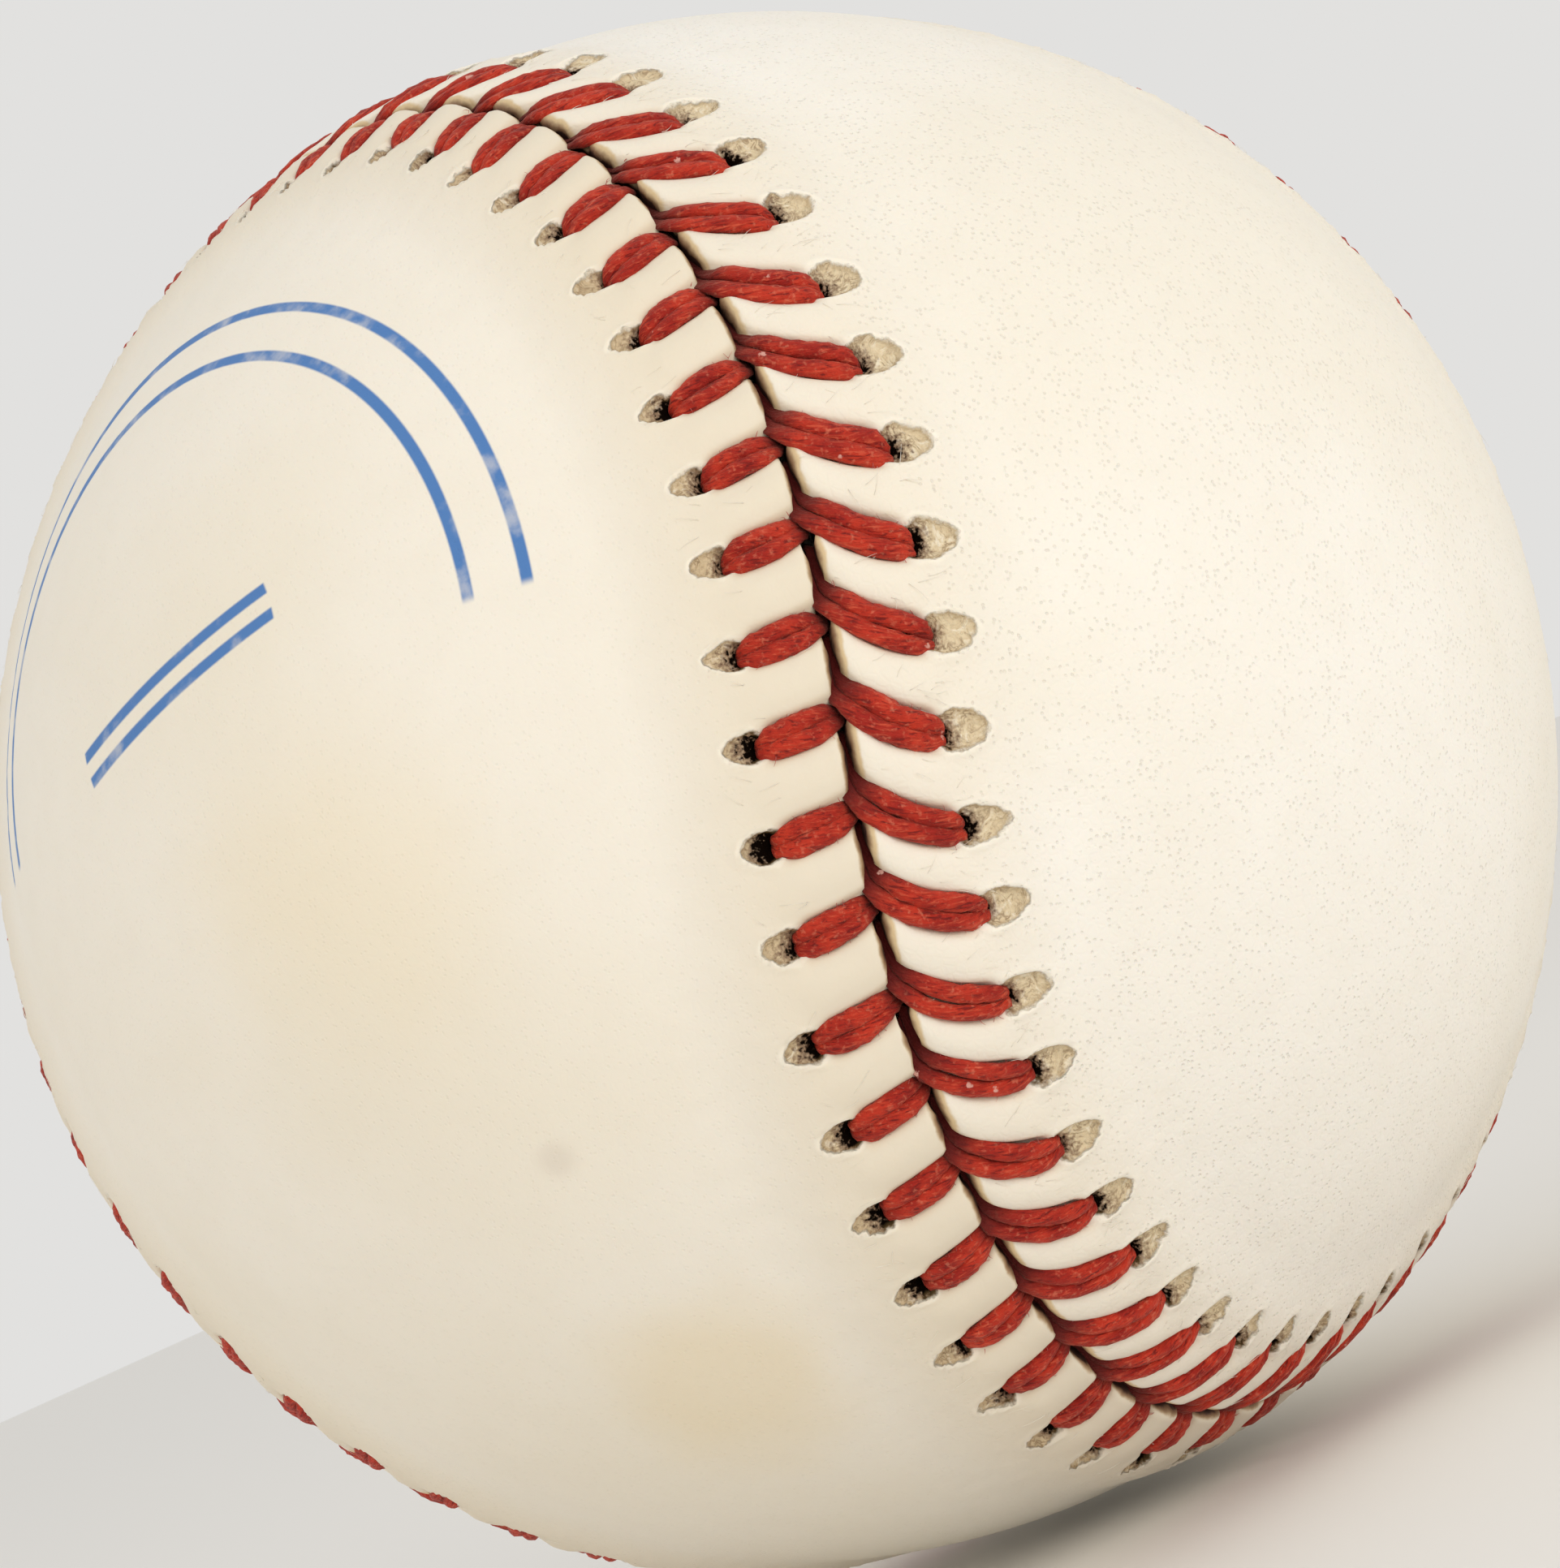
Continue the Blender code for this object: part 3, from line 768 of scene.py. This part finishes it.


# %% [markdown]
# Inside a slot the grain is torn away. The tan suede under it shows in frayed swirls, with a pale curled lip
# round it that a painted highlight brightens. Towards the thread it darkens, partly with smudges and partly as
# painted shade, and at the thread's end the needle's hole is painted black for the shade in it. The pattern
# follows the piece's own attribute place, so that it stays with its stitch.

# %% Mix the torn slots
def torn_slots(tree, where, across, beyond, panel, look, color):
    """The slots on top of the grain: the new colour, how high the suede stands, and how black the hole is
    painted for its shade.
    """
    fray = add_node(tree, NOISE, {"Vector": where, "Scale": 1.0 / (0.62 * MM), "Detail": 4.0})
    fine = add_node(tree, NOISE, {"Vector": where, "Scale": 1.0 / (0.20 * MM), "Detail": 3.0})
    length, half_width = panel["slot"]
    past_middle = add_node(tree, MATH, {0: beyond, 1: SLOT_START + length / 2.0}, **MINUS)
    width = add_node(tree, MATH, {0: past_middle, 1: -SLOT_TAPER, 2: half_width}, **TIMES_PLUS)
    wide = add_node(tree, MATH, {0: across, 1: width}, operation="DIVIDE")
    long = add_node(tree, MATH, {0: past_middle, 1: length / 2.0}, operation="DIVIDE")
    oval = add_node(tree, "ShaderNodeCombineXYZ", {0: wide, 1: long})
    oval = add_node(tree, VECTOR, {0: oval}, operation="LENGTH")
    ragged = add_node(tree, MATH, {0: fray, 1: 0.62, 2: -0.31}, **TIMES_PLUS)
    rim = add_node(tree, MATH, {0: oval, 1: ragged}, **PLUS)
    torn = add_node(tree, RANGE, {0: rim, 1: 1.08, 2: 0.94}, **SOFT)

    deep_tan, pale_tan, smudge_and_shade_tan = look["suede"]
    suede = add_node(tree, MIX, {0: fine, 6: linear(deep_tan), 7: linear(pale_tan)}, **COLOR)
    swirls = add_node(tree, NOISE, {
        "Vector": where, "Scale": 1.0 / (1.1 * MM), "Detail": 3.5, "Roughness": 0.62, "Distortion": 2.2,
    })
    groove = add_node(tree, MATH, {0: swirls, 1: 0.47}, **MINUS)
    groove = add_node(tree, MATH, {0: groove}, **UNSIGNED)
    groove = add_node(tree, RANGE, {0: groove, 1: 0.055, 2: 0.004}, **SOFT)
    deep = add_node(tree, RANGE, {0: fray, 1: 0.40, 2: 0.60, 3: 0.60, 4: 0.10}, **SOFT)
    groove = add_node(tree, MATH, {0: groove, 1: deep}, **TIMES)
    suede = add_node(tree, MIX, {0: groove, 6: suede, 7: linear("7E6043")}, **COLOR)
    suede = tinted(tree, suede, "F3E9D3", swirls, 0.54, 0.66, 0.7)
    # Smudges and painted shade: the suede darkens towards the thread's end of the slot.
    smudge_and_shade = add_node(tree, MATH, {0: fray, 1: 1.6, 2: beyond}, **TIMES_PLUS)
    suede = tinted(tree, suede, smudge_and_shade_tan, smudge_and_shade, 0.85 + look["smudge_and_shade"], 0.20 + look["smudge_and_shade"], 0.85)

    # Painted shade: a brown painted shadow round the thread's end, and black in the needle's hole for the shade
    # in it.
    from_hole = add_node(tree, "ShaderNodeCombineXYZ", {0: across, 1: beyond})
    from_hole = add_node(tree, VECTOR, {0: from_hole, 1: (0.12, 0.10, 0.0)}, operation="DISTANCE")
    wander = add_node(tree, NOISE, {"Vector": where, "Scale": 1.0 / (5.0 * MM)})
    gap = add_node(tree, MATH, {0: fine, 1: 1.5, 2: from_hole}, **TIMES_PLUS)
    gap = add_node(tree, MATH, {0: wander, 1: 1.7, 2: gap}, **TIMES_PLUS)
    suede = tinted(tree, suede, "6B4B35", gap, 2.50 + look["hole"], 1.95 + look["hole"], 0.75)
    hole = add_node(tree, RANGE, {0: gap, 1: 2.06 + look["hole"], 2: 1.80 + look["hole"]}, **SOFT)
    suede = add_node(tree, MIX, {0: hole, 6: suede, 7: linear("0E0805")}, **COLOR)
    suede = tinted(tree, suede, "94794F", rim, 0.80, 1.0, 0.45)
    color = add_node(tree, MIX, {0: torn, 6: color, 7: suede}, **COLOR)

    # Painted highlight: the pale grain lip round the rim is lightened further.
    outside = add_node(tree, RANGE, {0: rim, 1: 1.34, 2: 1.12}, **SOFT)
    inside = add_node(tree, RANGE, {0: rim, 1: 0.92, 2: 1.04}, **SOFT)
    lip_highlight = add_node(tree, MATH, {0: outside, 1: inside}, **TIMES)
    lip_highlight = add_node(tree, MATH, {0: lip_highlight, 1: 0.35}, **TIMES)
    color = add_node(tree, MIX, {0: lip_highlight, 6: color, 7: linear("FAF3E3")}, **COLOR)
    height = add_node(tree, MATH, {0: swirls, 1: 5.0}, **TIMES)
    height = add_node(tree, MATH, {0: fine, 1: 2.5, 2: height}, **TIMES_PLUS)
    height = add_node(tree, MATH, {0: torn, 1: height}, **TIMES)
    black = add_node(tree, MATH, {0: torn, 1: hole}, **TIMES)
    return color, height, black


# %% [markdown]
# The cut edge beside the slit is creamy at the top, then brown and nearly black down the slit's wall, partly
# grime and partly painted shade in the slit. A few old stains lie in panel b like soft clouds.

# %% Mix the cut edge and the stains
def cut_edge(tree, where, off_seam, panel, color):
    """The colour with the hide's cut edge added beside the slit, darkened down its wall by grime and painted
    shade.
    """
    edge_jitter = add_node(tree, NOISE, {"Vector": where, "Scale": 1.0 / (0.9 * MM), "Detail": 4.0})
    edge = add_node(tree, MATH, {0: edge_jitter, 1: 0.35, 2: off_seam}, **TIMES_PLUS)
    edge = add_node(tree, MATH, {0: edge, 1: panel["slit"] + 0.175}, **MINUS)
    color = tinted(tree, color, "D9C196", edge, panel["cut"] + 0.12, panel["cut"] - 0.04)
    # Grime and painted shade: brown and then nearly black towards and down the slit's wall.
    color = tinted(tree, color, "7A5238", edge, 0.27, 0.06, 0.85)
    slit_grime_and_shade = add_node(tree, RANGE, {0: edge, 1: 0.09, 2: -0.02}, **SOFT)
    return add_node(tree, MIX, {0: slit_grime_and_shade, 6: color, 7: linear("38201A")}, **COLOR)


def stained(tree, where, look, color):
    """The colour with soft stains, each with its colour, strength, size in mm and direction from the middle."""
    cloud = add_node(tree, NOISE, {"Vector": where, "Scale": 1.0 / (9.0 * MM), "Detail": 2.0})
    for stain_color, strength, size, direction in look["stains"]:
        middle = Vector(direction) * COVER_RADIUS * MM
        apart = add_node(tree, VECTOR, {0: where, 1: middle}, operation="DISTANCE")
        apart = add_node(tree, MATH, {0: cloud, 1: size * MM, 2: apart}, **TIMES_PLUS)
        color = tinted(tree, color, stain_color, apart, 1.5 * size * MM, 0.75 * size * MM, strength)
    return color


# %% [markdown]
# Panel b carries a faded blue stamp. A plain stamp stands for the maker's here: two thin rings that run part of
# the way round, with a short double bar near their middle. Stamping ink soaks in, so it changes only the colour,
# and it is thin wherever the grain did not touch the stamp.

# %% Mix the stamped ink
RING_AXIS = Vector((-0.6862, -0.6561, 0.3140)).normalized()
RING_MIDDLE = Vector((0.2287, 0.2152, 0.9494)).normalized()
RINGS_AT = (17.0, 19.6)
BAR_OFFSET = 0.62
INK_LINE = {1: 0.33, 2: 0.20}
BAR_ENDS = (Vector((-0.7802, -0.5392, 0.3170)).normalized(), Vector((-0.5089, -0.7715, 0.3818)).normalized())


def stamped(tree, where, color):
    """The colour with two part rings and a double bar of blue ink."""
    direction = add_node(tree, VECTOR, {0: where}, operation="NORMALIZE")
    turned = add_node(tree, VECTOR, {0: direction, 1: RING_AXIS}, operation="DOT_PRODUCT")
    radius = add_node(tree, MATH, {0: turned}, operation="ARCCOSINE")
    radius = add_node(tree, MATH, {0: radius, 1: COVER_RADIUS}, **TIMES)
    radius = add_node(tree, MATH, {0: radius, 1: sum(RINGS_AT) / 2.0}, **MINUS)
    radius = add_node(tree, MATH, {0: radius}, **UNSIGNED)
    off_ring = add_node(tree, MATH, {0: radius, 1: (RINGS_AT[1] - RINGS_AT[0]) / 2.0}, **MINUS)
    off_ring = add_node(tree, MATH, {0: off_ring}, **UNSIGNED)
    ring = add_node(tree, RANGE, {0: off_ring, **INK_LINE}, **SOFT)
    toward = add_node(tree, VECTOR, {0: direction, 1: RING_MIDDLE}, operation="DOT_PRODUCT")
    present = add_node(tree, RANGE, {0: toward, 1: -0.012, 2: 0.0}, **SOFT)
    ring = add_node(tree, MATH, {0: ring, 1: present}, **TIMES)

    start, end = BAR_ENDS
    across = start.cross(end).normalized()
    middle = (start + end).normalized()
    off_bar = add_node(tree, VECTOR, {0: direction, 1: across * COVER_RADIUS}, operation="DOT_PRODUCT")
    off_bar = add_node(tree, MATH, {0: off_bar}, **UNSIGNED)
    off_bar = add_node(tree, MATH, {0: off_bar, 1: BAR_OFFSET}, **MINUS)
    off_bar = add_node(tree, MATH, {0: off_bar}, **UNSIGNED)
    bar = add_node(tree, RANGE, {0: off_bar, **INK_LINE}, **SOFT)
    beside = add_node(tree, VECTOR, {0: direction, 1: middle}, operation="DOT_PRODUCT")
    half_turn = start.angle(end) / 2.0
    short = add_node(tree, RANGE, {0: beside, 1: math.cos(half_turn + 0.004), 2: math.cos(half_turn)}, **SOFT)
    bar = add_node(tree, MATH, {0: bar, 1: short}, **TIMES)

    ink = add_node(tree, MATH, {0: ring, 1: bar}, operation="MAXIMUM")
    missed = add_node(tree, NOISE, {"Vector": where, "Scale": 1.0 / (1.8 * MM), "Detail": 6.0})
    strength = add_node(tree, RANGE, {0: missed, 1: 0.30, 2: 0.50, 3: 0.55, 4: 0.95}, **SOFT)
    ink = add_node(tree, MATH, {0: ink, 1: strength}, **TIMES)
    return add_node(tree, MIX, {0: ink, 6: color, 7: linear("2E72B8")}, **COLOR)


# %% [markdown]
# The whole leather is put together once for each panel. Alum-tanned leather lets a little light in, which
# softens its shadows, and its finish is a thin matt lacquer. Its refractive index is that of collagen.

# %% Put the leather together
def leather_finish(name, panel, look):
    """Alum-tanned cowhide, with what the needle, the knife and the years have done to it."""
    material, tree, shader = new_material(name)
    where = add_node(tree, "ShaderNodeTexCoord").outputs["Object"]
    place = add_node(tree, "ShaderNodeAttribute", attribute_name="place").outputs["Vector"]
    across, beyond, off_seam = add_node(tree, "ShaderNodeSeparateXYZ", {0: place}).outputs
    color, height = leather_grain(tree, where, across, off_seam, panel, look)
    color = stained(tree, where, look, color)
    if look["stamp"]:
        color = stamped(tree, where, color)
    color, suede_height, black = torn_slots(tree, where, across, beyond, panel, look, color)
    color = cut_edge(tree, where, off_seam, panel, color)
    height = add_node(tree, MATH, {0: height, 1: suede_height}, **PLUS)
    coat(tree, shader, color, height, 0.045, 0.8, {
        "Roughness": 0.56, "IOR": 1.47, "Subsurface Weight": 0.12,
        "Subsurface Radius": (1.0, 0.7, 0.45), "Subsurface Scale": 0.5 * MM,
    })
    # No light glints inside a needle hole.
    glint = add_node(tree, MATH, {0: black, 1: -0.5, 2: 0.5}, **TIMES_PLUS)
    tree.links.new(first_output(glint), shader.inputs["Specular IOR Level"])
    return material


LOOKS = {
    "a": {
        "fresh": "F5F1E8", "warm": "EFE9DB", "painted_seam_shade": "E8DDC8", "pores": 1.0, "hole": 0.20, "smudge_and_shade": 0.25,
        "suede": ("CDB58D", "E9DAB9", "A08460"), "stains": [], "stamp": False,
    },
    "b": {
        "fresh": "F0EADD", "warm": "ECE4D2", "painted_seam_shade": "DDCFB4", "pores": 0.35, "hole": 0.26, "smudge_and_shade": 0.55,
        "suede": ("C0A680", "DECBA7", "6A5240"), "stamp": True,
        "stains": [
            ("E6D2A6", 0.42, 7.5, (-0.415, -0.650, -0.636)),
            ("EBDCBB", 0.35, 10.0, (-0.582, -0.811, 0.054)),
            ("D2C6B8", 0.35, 1.3, (-0.470, -0.823, -0.318)),
        ],
    },
}
for letter, leather in leathers.items():
    leather.data.materials.clear()
    cowhide = leather_finish("alum_tanned_cowhide_" + letter, PANELS[letter], LOOKS[letter])
    leather.data.materials.append(cowhide)
print("the two panels have their own leathers")

# %% [markdown]
# ## Thread finish
# The thread is red cotton drawn through wax. Wax fills it and gives a dull gloss, and the twist of its plies
# and stray fibres break that up. Where it dives into the slit and the hole it is darkened as painted shade, and
# tiny pale flecks of leather dust stick to it.

# %% Mix the waxed thread
def thread_finish(name):
    """Red waxed cotton: twisted plies by bump, with darker grooves, ends and pale flecks by colour."""
    material, tree, shader = new_material(name)
    where = add_node(tree, "ShaderNodeTexCoord").outputs["Object"]
    fibre = add_node(tree, "ShaderNodeAttribute", attribute_name="fibre").outputs["Vector"]
    share = add_node(tree, "ShaderNodeAttribute", attribute_name="share").outputs["Fac"]
    # fibre counts radians round the strand and along it, so this pattern is drawn out along the thread.
    hairs = add_node(tree, NOISE, {
        "Vector": fibre, "Scale": 2.9, "Detail": 5.0, "Roughness": 0.6, "Distortion": 0.5,
    })
    broad = add_node(tree, NOISE, {"Vector": where, "Scale": 1.0 / (1.3 * MM), "Detail": 3.0})
    nap = add_node(tree, NOISE, {"Vector": where, "Scale": 1.0 / (0.24 * MM), "Detail": 4.0})
    color = tinted(tree, linear("A01C0F"), "C4331C", broad, 0.35, 0.65)
    # Painted shade darkens the grooves between the fibres and both ends, where the thread dives in. A painted
    # highlight lightens their crests, and the rubbed nap is pale fuzz that the painted highlight brightens
    # further.
    color = tinted(tree, color, "6A0C0A", hairs, 0.48, 0.34, 0.85)
    color = tinted(tree, color, "DC6042", hairs, 0.54, 0.68, 0.60)
    color = tinted(tree, color, "E88A6C", nap, 0.55, 0.74, 0.42)
    # Painted shade: both ends of each strand darken where it dives into the slit and into the hole.
    color = tinted(tree, color, "62120E", share, 0.60, 0.84)
    color = tinted(tree, color, "62120E", share, 0.16, 0.03)

    shoved = add_node(tree, VECTOR, {0: nap.outputs["Color"], "Scale": 0.5 * MM}, operation="SCALE")
    shoved = add_node(tree, VECTOR, {0: where, 1: shoved}, **PLUS)
    dust = add_node(tree, CELLS, {"Vector": shoved, "Scale": 1.0 / (0.9 * MM)})
    chosen = add_node(tree, "ShaderNodeSeparateColor", {0: dust.outputs["Color"]})
    chosen = add_node(tree, MATH, {0: chosen, 1: 0.94}, operation="GREATER_THAN")
    fleck = add_node(tree, RANGE, {0: dust, 1: 0.18, 2: 0.10, 3: 0.0, 4: 0.75}, **SOFT)
    fleck = add_node(tree, MATH, {0: fleck, 1: chosen}, **TIMES)
    color = add_node(tree, MIX, {0: fleck, 6: color, 7: linear("EDB9AA")}, **COLOR)
    height = add_node(tree, MATH, {0: nap, 1: 0.6, 2: hairs}, **TIMES_PLUS)
    coat(tree, shader, color, height, 0.17, 0.9, {
        "Roughness": 0.60, "IOR": 1.45, "Specular IOR Level": 0.28,
        "Sheen Weight": 0.22, "Sheen Roughness": 0.4, "Sheen Tint": linear("FFB8A4"),
    })
    return material


waxed_thread = thread_finish("waxed_red_cotton_thread")
for thread in threads.values():
    thread.data.materials.append(waxed_thread)
print("the thread has its wax")

# %% [markdown]
# The loose fibres are so thin that they take only a colour that wanders a little from one to the next.

# %% Mix the loose fibres
def fibre_finish(name, pale, deep):
    """Fine loose fibre, matt, with the soft bright edge of hair that sheen stands for."""
    material, tree, shader = new_material(name)
    where = add_node(tree, "ShaderNodeTexCoord").outputs["Object"]
    wander = add_node(tree, NOISE, {"Vector": where, "Scale": 1.0 / (1.5 * MM)})
    tint = add_node(tree, MIX, {0: wander, 6: linear(pale), 7: linear(deep)}, **COLOR)
    tree.links.new(first_output(tint), shader.inputs["Base Color"])
    shader.inputs["Roughness"].default_value = 0.8
    shader.inputs["IOR"].default_value = 1.5
    shader.inputs["Sheen Weight"].default_value = 0.3
    return material


white_fibres.data.materials.append(fibre_finish("loose_leather_fibre", "FBF8F0", "E9E0CE"))
red_fibres.data.materials.append(fibre_finish("loose_cotton_fibre", "C83A22", "9A1A12"))

# %% [markdown]
# ## Inside the ball
# The pill and the windings never show in a whole ball, but anyone who cuts it open in the scene will see them.
# The core is cork granules bound with a little rubber. The shells round it are moulded rubber, with the faint
# bloom that cured rubber gets.

# %% Mix the cork and the rubber
def cork_finish(name):
    """Composition cork: brown granules about 1.2 mm across, each its own shade, with dark seams of binder."""
    material, tree, shader = new_material(name)
    where = add_node(tree, "ShaderNodeTexCoord").outputs["Object"]
    granules = add_node(tree, CELLS, {"Vector": where, "Scale": 1.0 / (1.2 * MM)})
    shade = add_node(tree, "ShaderNodeSeparateColor", {0: granules.outputs["Color"]})
    color = add_node(tree, MIX, {0: shade, 6: linear("B98552"), 7: linear("8A5A33")}, **COLOR)
    seams = add_node(tree, CELLS, {"Vector": where, "Scale": 1.0 / (1.2 * MM)}, feature="DISTANCE_TO_EDGE")
    color = tinted(tree, color, "3A2518", seams, 0.10, 0.02)
    height = add_node(tree, RANGE, {0: seams, 1: 0.0, 2: 0.15}, **SOFT)
    coat(tree, shader, color, height, 0.15, 0.8, {"Roughness": 0.85, "IOR": 1.45})
    return material


def rubber_finish(name, base, bloom):
    """Moulded rubber: an even colour under a cloudy bloom, with a faint satin grain from the mould."""
    material, tree, shader = new_material(name)
    where = add_node(tree, "ShaderNodeTexCoord").outputs["Object"]
    clouds = add_node(tree, NOISE, {"Vector": where, "Scale": 1.0 / (6.0 * MM), "Detail": 5.0})
    color = tinted(tree, linear(base), bloom, clouds, 0.40, 0.75, 0.5)
    grain = add_node(tree, NOISE, {"Vector": where, "Scale": 1.0 / (0.3 * MM), "Detail": 3.0})
    coat(tree, shader, color, grain, 0.03, 0.6, {"Roughness": 0.55, "IOR": 1.52})
    return material


# %% [markdown]
# A winding is a long yarn laid on under tension, a few turns side by side, then the ball is turned and the next
# turns cross them. The shader does the same: patches of parallel turns about three axes, each strand rounded
# by the bump and by painted shade between the turns, with wool's soft edge from sheen.

# %% Mix the yarn windings and dress the hidden parts
WINDING_AXES = (Vector((0.8, 0.5, 0.33)), Vector((-0.45, 0.85, 0.28)), Vector((0.15, -0.4, 0.9)))


def yarn_finish(name, base, deep, strand):
    """Wound yarn with strands this many mm wide, in three crossing directions."""
    material, tree, shader = new_material(name)
    where = add_node(tree, "ShaderNodeTexCoord").outputs["Object"]
    layers = []
    for axis in WINDING_AXES:
        stretched = axis.normalized() / (strand * MM)
        turns = add_node(tree, VECTOR, {0: where, 1: stretched}, operation="DOT_PRODUCT")
        rounded = add_node(tree, MATH, {0: turns, 1: 0.5}, operation="PINGPONG")
        layers.append(add_node(tree, MATH, {0: rounded, 1: 2.0}, **TIMES))
    patches = add_node(tree, CELLS, {"Vector": where, "Scale": 1.0 / (14.0 * MM)})
    chosen = add_node(tree, "ShaderNodeSeparateColor", {0: patches.outputs["Color"]})
    first = add_node(tree, MATH, {0: chosen, 1: 0.34}, operation="GREATER_THAN")
    second = add_node(tree, MATH, {0: chosen, 1: 0.67}, operation="GREATER_THAN")
    turns = add_node(tree, MIX, {0: first, 2: layers[0], 3: layers[1]})
    turns = add_node(tree, MIX, {0: second, 2: turns, 3: layers[2]})
    fuzz = add_node(tree, NOISE, {"Vector": where, "Scale": 1.0 / (0.25 * MM), "Detail": 4.0})
    # Painted shade: each turn is coloured darker at its edges and lighter on its crest, besides the bump.
    lit = add_node(tree, RANGE, {0: turns, 1: 0.0, 2: 0.6}, **SOFT)
    color = add_node(tree, MIX, {0: lit, 6: linear(deep), 7: linear(base)}, **COLOR)
    color = tinted(tree, color, deep, fuzz, 0.35, 0.65, 0.4)
    height = add_node(tree, MATH, {0: fuzz, 1: 0.3, 2: lit}, **TIMES_PLUS)
    coat(tree, shader, color, height, 0.3 * strand, 0.9, {"Roughness": 0.9, "IOR": 1.54, "Sheen Weight": 0.3})
    return material


HIDDEN_FINISHES = {
    "cork": cork_finish("composition_cork"),
    "black_rubber": rubber_finish("moulded_black_rubber", "1B1B1C", "3A393A"),
    "red_rubber": rubber_finish("moulded_red_rubber", "8E2A20", "A85548"),
    "grey_wool_yarn": yarn_finish("wound_grey_wool_yarn", "9A968E", "5C5852", 1.1),
    "white_wool_yarn": yarn_finish("wound_white_wool_yarn", "E4DFD2", "A49C8A", 0.9),
    "finishing_yarn": yarn_finish("wound_finishing_yarn", "D9D3C4", "8F8878", 0.4),
}

for part in frame["record"]["subparts"]:
    finish = HIDDEN_FINISHES.get(part["material_slot"])
    if finish:
        node = frame["nodes"][part["node"]]
        node.data.materials.clear()
        node.data.materials.append(finish)
        print(node.name, "is dressed in", finish.name)
